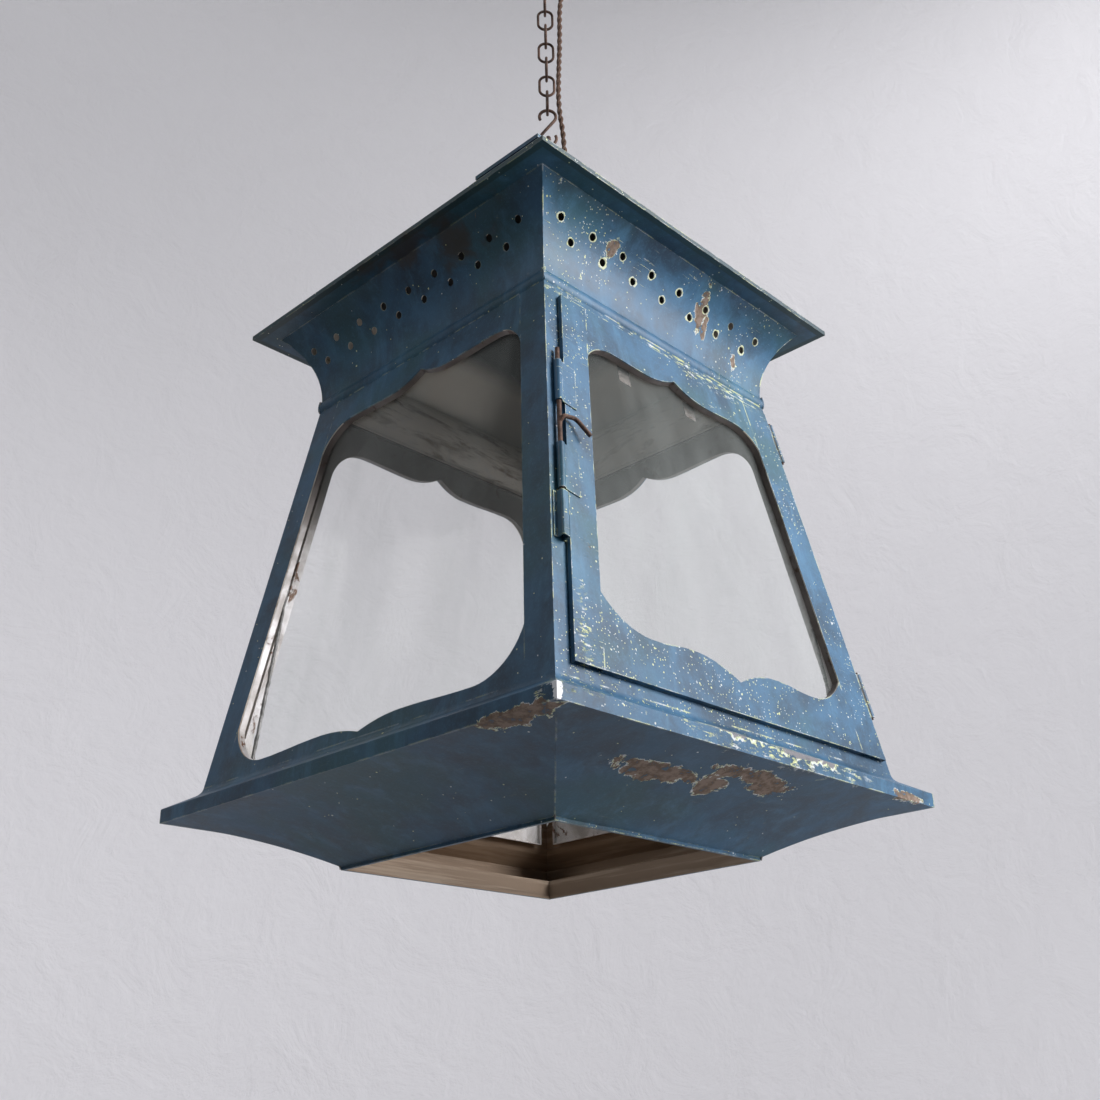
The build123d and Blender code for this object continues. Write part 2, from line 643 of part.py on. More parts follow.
# the keeper is a strap bent up over the bolt, with a foot on each side of it
keeper_half, foot_y = 3.3, strap - bolt_proud
with BuildPart() as bolt_keeper:
    with BuildSketch(latch_plane.offset(along(keeper_span[0]))):
        with BuildLine():
            FilletPolyline((-5.0, foot_y), (-keeper_half, foot_y), (-keeper_half, keeper_half),
                           (keeper_half, keeper_half), (keeper_half, foot_y), (6.0, foot_y),
                           radius=[0.3, 1.5, 1.5, 0.3])
            offset(amount=strap, side=Side.RIGHT)
        make_face()
    extrude(amount=along(keeper_span[1]) - along(keeper_span[0]))
save(bolt_keeper, "bolt_keeper")

with BuildPart() as slide_bolt:
    with BuildSketch(latch_plane.offset(along(bolt_low))):
        Circle(bolt_radius)
    extrude(amount=along(bolt_high) - along(bolt_low))
    with BuildLine() as handle_line:
        FilletPolyline(*[latch_plane.from_local_coords(Vector(x, y, along(handle_h) + z))
                         for x, y, z in ((0, 0, 0), (-0.5, 3.5, 3.5), (-11, 5, 6), (-22, 8, -5))],
                       radius=[1.9, 6])
    with BuildSketch(Plane(origin=handle_line.line @ 0, z_dir=handle_line.line % 0)):
        Circle(bolt_radius - 0.1)
    sweep(transition=Transition.ROUND)
save(slide_bolt, "slide_bolt")
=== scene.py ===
import bpy
import json
import math
import random
from mathutils import Matrix, Vector, noise


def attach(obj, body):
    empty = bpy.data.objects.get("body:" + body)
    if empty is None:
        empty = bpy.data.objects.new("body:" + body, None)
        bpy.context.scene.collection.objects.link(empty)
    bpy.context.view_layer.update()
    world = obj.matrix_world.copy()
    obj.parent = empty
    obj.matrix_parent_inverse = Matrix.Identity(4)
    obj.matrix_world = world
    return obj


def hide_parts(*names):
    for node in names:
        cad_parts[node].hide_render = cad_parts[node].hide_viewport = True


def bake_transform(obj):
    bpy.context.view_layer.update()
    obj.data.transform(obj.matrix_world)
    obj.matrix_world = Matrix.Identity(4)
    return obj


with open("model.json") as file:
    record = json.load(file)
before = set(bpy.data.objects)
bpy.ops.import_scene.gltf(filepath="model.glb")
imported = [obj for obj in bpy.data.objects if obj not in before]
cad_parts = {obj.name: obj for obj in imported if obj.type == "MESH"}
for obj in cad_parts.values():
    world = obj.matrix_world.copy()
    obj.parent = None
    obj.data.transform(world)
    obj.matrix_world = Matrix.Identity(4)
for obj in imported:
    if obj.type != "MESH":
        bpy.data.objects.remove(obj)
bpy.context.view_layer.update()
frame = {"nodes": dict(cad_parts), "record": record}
print("frame loaded")

millimetre = 0.001
ceilingDrop = 0.907
lanternAxis = Vector((-0.0078, 0.0078, 0.0))
doorSide, leftSide, backSide, rightSide = -90, 180, 90, 0


def lanternPoint(angle, outward, sideways, height):
    # a point by one face of the lantern, in millimetres:
    # outward from the axis, sideways along the face, height above the rim
    turn = math.radians(angle)
    across = Vector((-math.sin(turn), math.cos(turn), 0))
    out = Vector((math.cos(turn), math.sin(turn), 0))
    spot = (out * outward + across * sideways) * millimetre + lanternAxis
    return Vector((spot.x, spot.y, height * millimetre - ceilingDrop))


# Camera

view = {
    "place": (-0.72562, -0.68697, -1.13918),
    "forward": (0.67213, 0.62482, 0.39730),
    "right": (0.68896, -0.72432, -0.02645),
    "lens": 42.91,
    "shift": (-0.018, 0.011),
}


def makeCamera():
    forward = Vector(view["forward"]).normalized()
    right = Vector(view["right"]).normalized()
    up = right.cross(forward).normalized()
    right = forward.cross(up)
    turned = Matrix((right, up, -forward)).transposed().to_4x4()
    data = bpy.data.cameras.new("lanternCamera")
    data.lens = view["lens"]
    data.sensor_width = 36.0
    data.shift_x, data.shift_y = view["shift"]
    data.clip_start, data.clip_end = 0.01, 60.0
    camera = bpy.data.objects.new("lanternCamera", data)
    bpy.context.scene.collection.objects.link(camera)
    camera.matrix_world = Matrix.Translation(Vector(view["place"])) @ turned
    bpy.context.scene.camera = camera


makeCamera()
print("camera placed")


# Mesh helpers


def addMesh(name, points, faces, material, smooth=True):
    mesh = bpy.data.meshes.new(name)
    mesh.from_pydata([tuple(p) for p in points], [], faces)
    mesh.validate()
    mesh.update()
    for face in mesh.polygons:
        face.use_smooth = smooth
    piece = bpy.data.objects.new(name, mesh)
    bpy.context.scene.collection.objects.link(piece)
    mesh.materials.append(material)
    return piece


def sweep(points, radiusAt, sides):
    # tube of rings round a line of points, closed at both ends
    rings, faces = [], []
    side = Vector((1, 0, 0))
    for i, point in enumerate(points):
        ahead = points[min(i + 1, len(points) - 1)] - points[max(i - 1, 0)]
        ahead.normalize()
        side = (side - ahead * side.dot(ahead)).normalized()
        other = ahead.cross(side)
        for k in range(sides):
            a = 2 * math.pi * k / sides
            r = radiusAt(i, a)
            rings.append(point + (side * math.cos(a) + other * math.sin(a)) * r)
    for i in range(len(points) - 1):
        for k in range(sides):
            n = (k + 1) % sides
            faces.append((i * sides + k, i * sides + n, (i + 1) * sides + n, (i + 1) * sides + k))
    last = (len(points) - 1) * sides
    faces.append(tuple(reversed(range(sides))))
    faces.append(tuple(range(last, last + sides)))
    return rings, faces


# Material helpers


def startMaterial(name):
    material = bpy.data.materials.new(name)
    material.use_nodes = True
    tree = material.node_tree
    tree.nodes.clear()
    shader = tree.nodes.new("ShaderNodeBsdfPrincipled")
    output = tree.nodes.new("ShaderNodeOutputMaterial")
    tree.links.new(shader.outputs[0], output.inputs[0])
    return material, tree, shader


def put(tree, kind, inputs=None, **settings):
    made = tree.nodes.new(kind)
    for key, value in settings.items():
        setattr(made, key, value)
    for key, value in (inputs or {}).items():
        wire(tree, value, made.inputs[key])
    return made


def wire(tree, value, socket):
    if isinstance(value, bpy.types.NodeSocket):
        tree.links.new(value, socket)
    else:
        socket.default_value = value


def sums(tree, operation, a, b=0.0):
    return put(tree, "ShaderNodeMath", {0: a, 1: b}, operation=operation).outputs[0]


def both(tree, a, b):
    return sums(tree, "MULTIPLY", a, b)


def either(tree, a, b):
    return sums(tree, "MAXIMUM", a, b)


def minus(tree, value):
    return sums(tree, "MULTIPLY", value, -1.0)


def opposite(tree, mask):
    return sums(tree, "SUBTRACT", 1.0, mask)


def axesOf(tree, vector):
    return put(tree, "ShaderNodeSeparateXYZ", {0: vector}).outputs


def vectorMath(tree, operation, a, b=None):
    inputs = {0: a} if b is None else {0: a, 1: b}
    return put(tree, "ShaderNodeVectorMath", inputs, operation=operation).outputs


def grain(tree, where, scale, detail=4.0, roughness=0.55, distortion=0.0):
    made = put(
        tree,
        "ShaderNodeTexNoise",
        {
            "Vector": where,
            "Scale": scale,
            "Detail": detail,
            "Roughness": roughness,
            "Distortion": distortion,
        },
    )
    return made.outputs["Fac"]


def band(tree, value, low, high):
    # 0 below low and 1 above high
    made = put(
        tree,
        "ShaderNodeMapRange",
        {"Value": value, "From Min": low, "From Max": high},
        interpolation_type="SMOOTHSTEP",
    )
    return made.outputs[0]


def blendColour(tree, share, a, b):
    made = tree.nodes.new("ShaderNodeMix")
    made.data_type = "RGBA"
    colours = [s for s in made.inputs if s.type == "RGBA"]
    wire(tree, share, made.inputs[0])
    for socket, value in zip(colours, (a, b)):
        wire(tree, value if isinstance(value, bpy.types.NodeSocket) else (*value, 1.0), socket)
    return [s for s in made.outputs if s.type == "RGBA"][0]


def stretched(tree, where, sizes):
    return put(tree, "ShaderNodeMapping", {"Vector": where, "Scale": sizes}).outputs[0]


patchRaggedness = 3.6


def patchField(tree, where, ragged, spots):
    # distance field of ragged ellipsoids: under 1 inside one of them
    # a spot's size is its three half lengths in metres
    field = None
    for spot in spots:
        away = vectorMath(tree, "SUBTRACT", where, spot["at"])[0]
        scaled = vectorMath(tree, "DIVIDE", away, spot["size"])[0]
        reach = vectorMath(tree, "LENGTH", scaled)["Value"]
        field = reach if field is None else sums(tree, "MINIMUM", field, reach)
    uneven = both(tree, sums(tree, "SUBTRACT", ragged, 0.5), patchRaggedness)
    return sums(tree, "ADD", field, uneven)


def under(tree, field, limit, softness=0.03):
    return opposite(tree, band(tree, field, limit - softness, limit))


def dotsOf(tree, where, scale, share, size):
    # small round chips: share is how many of the cells have one
    cells = put(tree, "ShaderNodeTexVoronoi", {"Vector": where, "Scale": scale, "Randomness": 1.0})
    pick = put(tree, "ShaderNodeSeparateColor", {0: cells.outputs["Color"]}).outputs[0]
    near = sums(tree, "LESS_THAN", cells.outputs["Distance"], size)
    return sums(tree, "MULTIPLY", near, sums(tree, "LESS_THAN", pick, share))


def bumps(tree, height, distance, strength=1.0, beneath=None):
    inputs = {"Height": height, "Distance": distance, "Strength": strength}
    if beneath is not None:
        inputs["Normal"] = beneath
    return put(tree, "ShaderNodeBump", inputs).outputs[0]


# Paint: colours, roughness range, edge wear, and heights and reaches in metres

paint = {
    "deep": (0.010, 0.050, 0.100),
    "blue": (0.028, 0.120, 0.232),
    "pale": (0.072, 0.222, 0.380),
    "teal": (0.016, 0.098, 0.118),
    # painted shade for paint that faces left or down
    "grimeAndShade": (0.030, 0.034, 0.030),
    # painted shade on the folded rim under the eave
    "hem": (0.012, 0.038, 0.038),
    "stain": (0.048, 0.034, 0.022),
    "cream": (0.66, 0.70, 0.34),
    "chalk": (0.66, 0.70, 0.72),
    "rust": (0.130, 0.085, 0.054),
    "rustLight": (0.250, 0.185, 0.145),
    "bareMetal": (0.80, 0.81, 0.84),
    "bareGrey": (0.190, 0.188, 0.205),
    "tin": (0.56, 0.55, 0.53),
    "inside": (0.66, 0.615, 0.55),
    "insideRust": (0.27, 0.22, 0.175),
    "roofInside": (0.52, 0.475, 0.41),
    "insideTopDark": (0.016, 0.015, 0.014),
    "baseInside": (0.25, 0.180, 0.125),
    "baseStripe": (0.37, 0.285, 0.21),
    "roughness": (0.36, 0.58),
    "edgeWidth": 0.0014,
    "hemBottom": (-0.4975, -0.4965),
    "hemTop": (0.4815, 0.4825),
    "hemReach": (0.1755, 0.1765),
    "baseTop": (-0.88, -0.80),
    "roofFrom": (-0.500, -0.488),
    "insideTopDarkFrom": (-0.445, -0.425),
}


def makePaint():
    material, tree, shader = startMaterial("wornBluePaint")
    space = tree.nodes.new("ShaderNodeTexCoord")
    where, facing = space.outputs["Object"], space.outputs["Normal"]

    broad = grain(tree, where, 7.0, 3.0, 0.6)
    cloudy = grain(tree, where, 24.0, 5.0, 0.62, 0.4)
    fine = grain(tree, where, 130.0, 5.0, 0.65)
    dusting = grain(tree, where, 620.0, 3.0, 0.6)
    rubbed = grain(tree, stretched(tree, where, (44.0, 44.0, 8.0)), 1.0, 5.0, 0.65, 0.3)
    ragged = grain(tree, where, 60.0, 6.0, 0.72, 0.4)

    blue = blendColour(tree, band(tree, cloudy, 0.32, 0.64), paint["deep"], paint["blue"])
    blue = blendColour(tree, both(tree, band(tree, broad, 0.48, 0.64), 0.65), blue, paint["teal"])
    blue = blendColour(tree, both(tree, band(tree, rubbed, 0.48, 0.76), 0.55), blue, paint["pale"])
    blue = blendColour(tree, both(tree, band(tree, fine, 0.52, 0.80), 0.35), blue, paint["pale"])
    blue = blendColour(tree, both(tree, band(tree, dusting, 0.52, 0.72), 0.28), blue, paint["pale"])
    blue = blendColour(tree, both(tree, band(tree, ragged, 0.55, 0.75), 0.45), blue, paint["deep"])

    # the door side is the most worn; painted shade darkens the faces that turn left, and below, the
    # faces that turn down
    sides = axesOf(tree, facing)
    below = minus(tree, sides[2])
    doorward = band(tree, minus(tree, sides[1]), 0.20, 0.70)
    rightward = both(tree, band(tree, sides[0], 0.30, 0.80), 0.6)
    leftward = band(tree, minus(tree, sides[0]), 0.10, 0.70)
    upright = opposite(tree, band(tree, below, 0.6, 0.9))
    wear = sums(tree, "ADD", 0.06, both(tree, either(tree, doorward, rightward), upright))
    blue = blendColour(tree, both(tree, leftward, 0.25), blue, paint["grimeAndShade"])
    # painted shade on faces that turn down
    downward = band(tree, below, 0.75, 0.98)
    blue = blendColour(tree, both(tree, downward, 0.35), blue, paint["grimeAndShade"])

    # painted shade: the folded rim under the eave is darkened to dark green
    fromAxis = vectorMath(tree, "SUBTRACT", where, tuple(lanternAxis))[0]
    spans = axesOf(tree, vectorMath(tree, "ABSOLUTE", fromAxis)[0])
    height = axesOf(tree, where)[2]
    hem = both(
        tree,
        band(tree, height, *paint["hemBottom"]),
        band(tree, minus(tree, height), *paint["hemTop"]),
    )
    hem = both(tree, hem, band(tree, either(tree, spans[0], spans[1]), *paint["hemReach"]))
    blue = blendColour(tree, both(tree, hem, 0.8), blue, paint["hem"])
    stain = under(tree, patchField(tree, where, cloudy, stainSpots), 1.15, 0.9)
    blue = blendColour(tree, both(tree, stain, 0.75), blue, paint["stain"])

    # fine specks in drifts, some larger chips, and flakes where the top coat has gone
    drift = both(tree, wear, band(tree, grain(tree, where, 13.0, 4.0, 0.65), 0.42, 0.64))
    specks = dotsOf(tree, where, 760.0, both(tree, drift, 0.10), 0.40)
    specks = either(tree, specks, dotsOf(tree, where, 400.0, both(tree, drift, 0.040), 0.33))
    flakes = both(
        tree,
        band(tree, grain(tree, where, 150.0, 4.0, 0.60), 0.690, 0.710),
        both(tree, wear, band(tree, grain(tree, where, 10.0, 3.0, 0.6), 0.50, 0.57)),
    )
    # short scratches that run level round the body
    lines = stretched(tree, where, (38.0, 38.0, 820.0))
    scratches = both(
        tree,
        band(tree, grain(tree, lines, 1.0, 4.0, 0.65), 0.665, 0.70),
        both(tree, wear, band(tree, grain(tree, where, 17.0, 3.0, 0.6), 0.50, 0.60)),
    )

    # edges rubbed down to the old cream coat
    softened = put(tree, "ShaderNodeBevel", {"Radius": paint["edgeWidth"]}, samples=5)
    straight = put(tree, "ShaderNodeNewGeometry").outputs["Normal"]
    same = vectorMath(tree, "DOT_PRODUCT", softened.outputs[0], straight)["Value"]
    edge = band(tree, opposite(tree, same), 0.012, 0.09)
    edgeShare = sums(tree, "ADD", 0.25, both(tree, wear, 0.75))
    chipped = band(tree, grain(tree, where, 48.0, 5.0, 0.7), 0.46, 0.58)
    edgeWorn = both(tree, both(tree, edge, edgeShare), chipped)

    # patches of rust, grey metal, rubbed paint and bright metal; the first two have a ragged rim
    lumps = grain(tree, where, 38.0, 7.0, 0.70, 0.5)
    rustField = patchField(tree, where, lumps, rustSpots)
    spread = band(tree, grain(tree, where, 19.0, 7.0, 0.74, 0.5), 0.705, 0.715)
    rustMask = either(tree, spread, under(tree, rustField, 0.90))
    rustMask = both(tree, rustMask, band(tree, fine, 0.36, 0.42))
    rustRim = both(tree, under(tree, rustField, 1.0), band(tree, fine, 0.44, 0.50))
    rubs = grain(tree, stretched(tree, where, (110.0, 110.0, 420.0)), 1.0, 6.0, 0.72)
    scuffField = patchField(tree, where, lumps, creamSpots)
    scuffs = both(tree, under(tree, scuffField, 1.0, 0.5), band(tree, rubs, 0.52, 0.60))
    greyField = patchField(tree, where, lumps, greySpots)
    greyMask = under(tree, greyField, 0.85)
    greyRim = both(tree, under(tree, greyField, 1.15), band(tree, fine, 0.42, 0.48))
    bareMask = under(tree, patchField(tree, where, ragged, bareSpots), 1.0)
    creamMask = specks
    for more in (flakes, edgeWorn, scratches, scuffs, rustRim, greyRim):
        creamMask = either(tree, creamMask, more)
    rustTone = blendColour(tree, band(tree, fine, 0.40, 0.60), paint["rust"], paint["rustLight"])
    creamTone = blendColour(tree, band(tree, fine, 0.46, 0.58), paint["cream"], paint["chalk"])
    colour = blendColour(tree, creamMask, blue, creamTone)
    colour = blendColour(tree, rustMask, colour, rustTone)
    colour = blendColour(tree, greyMask, colour, paint["bareGrey"])
    colour = blendColour(tree, bareMask, colour, paint["bareMetal"])

    # the side that faces the axis was never painted
    flat = vectorMath(tree, "MULTIPLY", fromAxis, (1, 1, 0))[0]
    away = vectorMath(tree, "NORMALIZE", flat)[0]
    outward = vectorMath(tree, "DOT_PRODUCT", away, facing)["Value"]
    inside = sums(tree, "LESS_THAN", outward, -0.06)
    runs = grain(tree, stretched(tree, where, (16.0, 16.0, 60.0)), 1.0, 5.0, 0.65, 0.5)
    stripes = grain(tree, stretched(tree, where, (7.0, 7.0, 190.0)), 1.0, 4.0, 0.6)
    baseTone = blendColour(
        tree, band(tree, stripes, 0.46, 0.62), paint["baseInside"], paint["baseStripe"]
    )
    streaks = band(tree, runs, 0.48, 0.66)
    insideTone = blendColour(tree, streaks, paint["inside"], paint["insideRust"])
    # the inside is darker towards the very top
    for share, tone in (
        (both(tree, band(tree, fine, 0.5, 0.7), 0.5), paint["tin"]),
        (opposite(tree, band(tree, height, *paint["baseTop"])), baseTone),
        (band(tree, height, *paint["roofFrom"]), paint["roofInside"]),
        (band(tree, height, *paint["insideTopDarkFrom"]), paint["insideTopDark"]),
    ):
        insideTone = blendColour(tree, share, insideTone, tone)
    colour = blendColour(tree, inside, colour, insideTone)

    wire(tree, colour, shader.inputs["Base Color"])
    bare = either(tree, rustMask, inside)
    sheen = put(
        tree,
        "ShaderNodeMapRange",
        {"Value": cloudy, "To Min": paint["roughness"][0], "To Max": paint["roughness"][1]},
    ).outputs[0]
    wire(tree, sums(tree, "ADD", sheen, both(tree, bare, 0.28)), shader.inputs["Roughness"])
    shader.inputs["Specular IOR Level"].default_value = 0.5
    dents = bumps(tree, grain(tree, where, 9.0, 2.0, 0.5), 0.004, 0.30)
    chips = opposite(tree, either(tree, creamMask, rustMask))
    layered = bumps(tree, chips, 0.0002, 0.8, dents)
    skin = bumps(tree, sums(tree, "ADD", fine, both(tree, dusting, 0.5)), 0.0003, 0.5, layered)
    wire(tree, skin, shader.inputs["Normal"])
    return material


def onFace(angle, outward, sideways, height):
    return tuple(round(c, 4) for c in lanternPoint(angle, outward, sideways, height))


rustSpots = [
    {"at": onFace(doorSide, 168, -72, -24), "size": (0.050, 0.010, 0.012)},
    {"at": onFace(doorSide, 172, -20, -24), "size": (0.016, 0.014, 0.012)},
    {"at": onFace(doorSide, 187, 0, -18), "size": (0.034, 0.010, 0.010)},
    {"at": onFace(doorSide, 182, 32, -20), "size": (0.024, 0.012, 0.010)},
    {"at": onFace(doorSide, 147, 44, 402), "size": (0.007, 0.016, 0.022)},
    {"at": onFace(doorSide, 143, 52, 386), "size": (0.004, 0.012, 0.012)},
    {"at": onFace(doorSide, 146, -72, 402), "size": (0.010, 0.012, 0.007)},
    {"at": onFace(doorSide, 140, 96, 372), "size": (0.005, 0.012, 0.008)},
    {"at": onFace(leftSide, 208, 170, -12), "size": (0.014, 0.030, 0.004)},
    {"at": onFace(doorSide, 209, 170, -8), "size": (0.022, 0.010, 0.004)},
]
stainSpots = [
    {"at": onFace(leftSide, 160, 60, 412), "size": (0.030, 0.030, 0.020)},
    {"at": onFace(leftSide, 172, 20, 420), "size": (0.014, 0.080, 0.008)},
]
creamSpots = [
    {"at": onFace(doorSide, 138, 0, 340), "size": (0.150, 0.012, 0.005)},
    {"at": onFace(doorSide, 140, 62, 332), "size": (0.060, 0.010, 0.010)},
    {"at": onFace(doorSide, 208, 30, -4), "size": (0.110, 0.010, 0.008)},
    {"at": onFace(doorSide, 200, -190, 4), "size": (0.022, 0.016, 0.012)},
    {"at": onFace(doorSide, 190, -158, 60), "size": (0.008, 0.014, 0.050)},
]
bareSpots = [{"at": onFace(doorSide, 211, -211, -5), "size": (0.0050, 0.0050, 0.0075)}]
greySpots = [
    {"at": onFace(doorSide, 205, -38, 3), "size": (0.024, 0.014, 0.006)},
    {"at": onFace(doorSide, 207, 46, 0), "size": (0.034, 0.012, 0.005)},
    {"at": onFace(doorSide, 155, -99, 250), "size": (0.006, 0.012, 0.010)},
    {"at": onFace(doorSide, 160, -104, 216), "size": (0.006, 0.012, 0.011)},
]


# Other metals


def makeIron(name, dark, light, scale, roughness, metallic):
    material, tree, shader = startMaterial(name)
    where = tree.nodes.new("ShaderNodeTexCoord").outputs["Object"]
    coarse = grain(tree, where, scale, 5.0, 0.65, 0.3)
    fine = grain(tree, where, scale * 5, 5.0, 0.7)
    tone = blendColour(tree, band(tree, coarse, 0.36, 0.64), dark, light)
    dust = tuple(min(1.0, c * 1.9 + 0.03) for c in light)
    tone = blendColour(tree, both(tree, band(tree, fine, 0.52, 0.72), 0.6), tone, dust)
    wire(tree, tone, shader.inputs["Base Color"])
    shader.inputs["Metallic"].default_value = metallic
    rough = put(
        tree,
        "ShaderNodeMapRange",
        {"Value": fine, "To Min": roughness - 0.12, "To Max": roughness + 0.12},
    ).outputs[0]
    wire(tree, rough, shader.inputs["Roughness"])
    pits = sums(tree, "ADD", coarse, both(tree, fine, 0.7))
    wire(tree, bumps(tree, pits, 0.0007, 0.8), shader.inputs["Normal"])
    return material


tin = {
    "bright": (0.70, 0.685, 0.69),
    "dull": (0.44, 0.41, 0.39),
    "rust": (0.17, 0.085, 0.045),
    # painted shade for trays that sit in shade
    "shadeBrown": (0.070, 0.052, 0.042),
    "shadeBrownHead": (-0.70, -0.63),
    "metallic": 0.7,
}


def makeTin():
    material, tree, shader = startMaterial("bareTinTray")
    where = tree.nodes.new("ShaderNodeTexCoord").outputs["Object"]
    cloudy = grain(tree, where, 30.0, 5.0, 0.65, 0.4)
    fine = grain(tree, where, 190.0, 5.0, 0.7)
    rusty = band(tree, grain(tree, where, 52.0, 6.0, 0.72, 0.6), 0.585, 0.64)
    tone = blendColour(tree, band(tree, cloudy, 0.35, 0.65), tin["bright"], tin["dull"])
    tone = blendColour(tree, rusty, tone, tin["rust"])
    # painted shade: the tray in the door is darkened brown all over, the others at the head
    axes = axesOf(tree, where)
    ahead = minus(tree, sums(tree, "ADD", axes[0], axes[1]))
    beside = sums(tree, "SUBTRACT", axes[0], axes[1])
    doorTray = both(tree, band(tree, ahead, -0.004, 0.004), band(tree, beside, -0.004, 0.004))
    shadeBrown = either(tree, doorTray, band(tree, axes[2], *tin["shadeBrownHead"]))
    tone = blendColour(tree, both(tree, shadeBrown, 0.85), tone, tin["shadeBrown"])
    wire(tree, tone, shader.inputs["Base Color"])
    shader.inputs["Metallic"].default_value = tin["metallic"]
    wire(tree, sums(tree, "ADD", 0.36, both(tree, cloudy, 0.35)), shader.inputs["Roughness"])
    wire(tree, bumps(tree, sums(tree, "ADD", fine, rusty), 0.0003, 0.7), shader.inputs["Normal"])
    return material


def makeGlass():
    # old thin panes: mostly see-through, with dust that thickens in patches
    material, tree, shader = startMaterial("dustyPane")
    where = tree.nodes.new("ShaderNodeTexCoord").outputs["Object"]
    smear = grain(tree, stretched(tree, where, (14.0, 14.0, 5.0)), 1.0, 4.0, 0.6, 0.5)
    fine = grain(tree, where, 260.0, 3.0, 0.6)
    dust = both(tree, band(tree, smear, 0.35, 0.80), 0.06)
    specks = both(tree, band(tree, fine, 0.70, 0.74), 0.10)
    shader.inputs["Base Color"].default_value = (0.72, 0.78, 0.76, 1.0)
    shader.inputs["Roughness"].default_value = 0.10
    shader.inputs["Specular IOR Level"].default_value = 0.6
    wire(tree, sums(tree, "ADD", 0.05, sums(tree, "ADD", dust, specks)), shader.inputs["Alpha"])
    ripple = grain(tree, where, 11.0, 2.0, 0.5)
    wire(tree, bumps(tree, ripple, 0.002, 0.25), shader.inputs["Normal"])
    return material


def makeFlexCover():
    # brown cotton braid: fine crossing threads round each core
    material, tree, shader = startMaterial("braidedFlexCover")
    coords = put(tree, "ShaderNodeUVMap", uv_map="strand").outputs[0]
    threads = []
    for lean in (0.75, -0.75):
        leaning = put(
            tree, "ShaderNodeMapping", {"Vector": coords, "Rotation": (0, 0, lean)}
        ).outputs[0]
        waves = put(tree, "ShaderNodeTexWave", {"Vector": leaning, "Scale": 1.6})
        threads.append(waves.outputs["Fac"])
    weave = either(tree, *threads)
    where = tree.nodes.new("ShaderNodeTexCoord").outputs["Object"]
    grimeAndShade = grain(tree, where, 60.0, 5.0, 0.65)
    tone = blendColour(tree, weave, (0.060, 0.034, 0.024), (0.230, 0.140, 0.100))
    tone = blendColour(tree, both(tree, grimeAndShade, 0.5), tone, (0.14, 0.10, 0.085))
    wire(tree, tone, shader.inputs["Base Color"])
    shader.inputs["Roughness"].default_value = 0.88
    shader.inputs["Specular IOR Level"].default_value = 0.2
    wire(tree, bumps(tree, weave, 0.0003, 0.9), shader.inputs["Normal"])
    return material


def makeRingChip():
    material, tree, shader = startMaterial("chippedVentRing")
    where = tree.nodes.new("ShaderNodeTexCoord").outputs["Object"]
    mottle = grain(tree, where, 300.0, 5.0, 0.7)
    tone = blendColour(tree, band(tree, mottle, 0.40, 0.62), (0.62, 0.66, 0.36), (0.62, 0.66, 0.62))
    rust = band(tree, grain(tree, where, 190.0, 4.0, 0.7), 0.58, 0.66)
    tone = blendColour(tree, rust, tone, (0.16, 0.11, 0.08))
    wire(tree, tone, shader.inputs["Base Color"])
    shader.inputs["Roughness"].default_value = 0.62
    wire(tree, bumps(tree, mottle, 0.0002, 0.8), shader.inputs["Normal"])
    return material


metals = {
    "solder": {
        "name": "dullSolder",
        "dark": (0.150, 0.145, 0.140),
        "light": (0.330, 0.325, 0.320),
        "scale": 160.0,
        "roughness": 0.46,
        "metallic": 0.6,
    },
    "rusty_iron": {
        "name": "rustyIron",
        "dark": (0.055, 0.030, 0.022),
        "light": (0.150, 0.085, 0.060),
        "scale": 140.0,
        "roughness": 0.68,
        "metallic": 0.25,
    },
    "fitting_iron": {
        "name": "dullFittingIron",
        "dark": (0.035, 0.028, 0.024),
        "light": (0.090, 0.070, 0.058),
        "scale": 90.0,
        "roughness": 0.58,
        "metallic": 0.45,
    },
    "old_brass": {
        "name": "tarnishedBrass",
        "dark": (0.170, 0.110, 0.045),
        "light": (0.420, 0.300, 0.130),
        "scale": 70.0,
        "roughness": 0.42,
        "metallic": 0.85,
    },
}

finishes = {slot: makeIron(**values) for slot, values in metals.items()}
finishes["ring_chip"] = makeRingChip()
finishes["blue_paint"] = makePaint()
finishes["bare_tin"] = makeTin()
finishes["pane_glass"] = makeGlass()
finishes["flex_cover"] = makeFlexCover()
print("finishes made")


def dressCadNodes():
    for row in frame["record"]["subparts"]:
        mesh = frame["nodes"][row["node"]].data
        mesh.materials.clear()
        mesh.materials.append(finishes[row["material_slot"]])


dressCadNodes()
print("CAD nodes dressed")


# Chipped rings round the vent holes, where punching broke the paint

vents = {
    "coveCentre": (225.8, 355.0),
    "coveRadius": 90.0,
    "holeRadius": 3.2,
    "lift": 0.16,
    "ringSteps": 30,
    "ringWidth": (0.25, 2.1),
    "seed": 7,
    "rows": [
        {"side": doorSide, "count": 8, "pitch": 35.2, "shift": -5, "height": 400, "chipped": 0.55},
        {"side": doorSide, "count": 7, "pitch": 36.0, "shift": -4, "height": 388, "chipped": 1.0},
    ],
}


def covePoint(side, sideways, tilt, lift):
    reach = vents["coveRadius"] - lift
    return lanternPoint(
        side,
        vents["coveCentre"][0] - reach * math.cos(tilt),
        sideways,
        vents["coveCentre"][1] + reach * math.sin(tilt),
    )


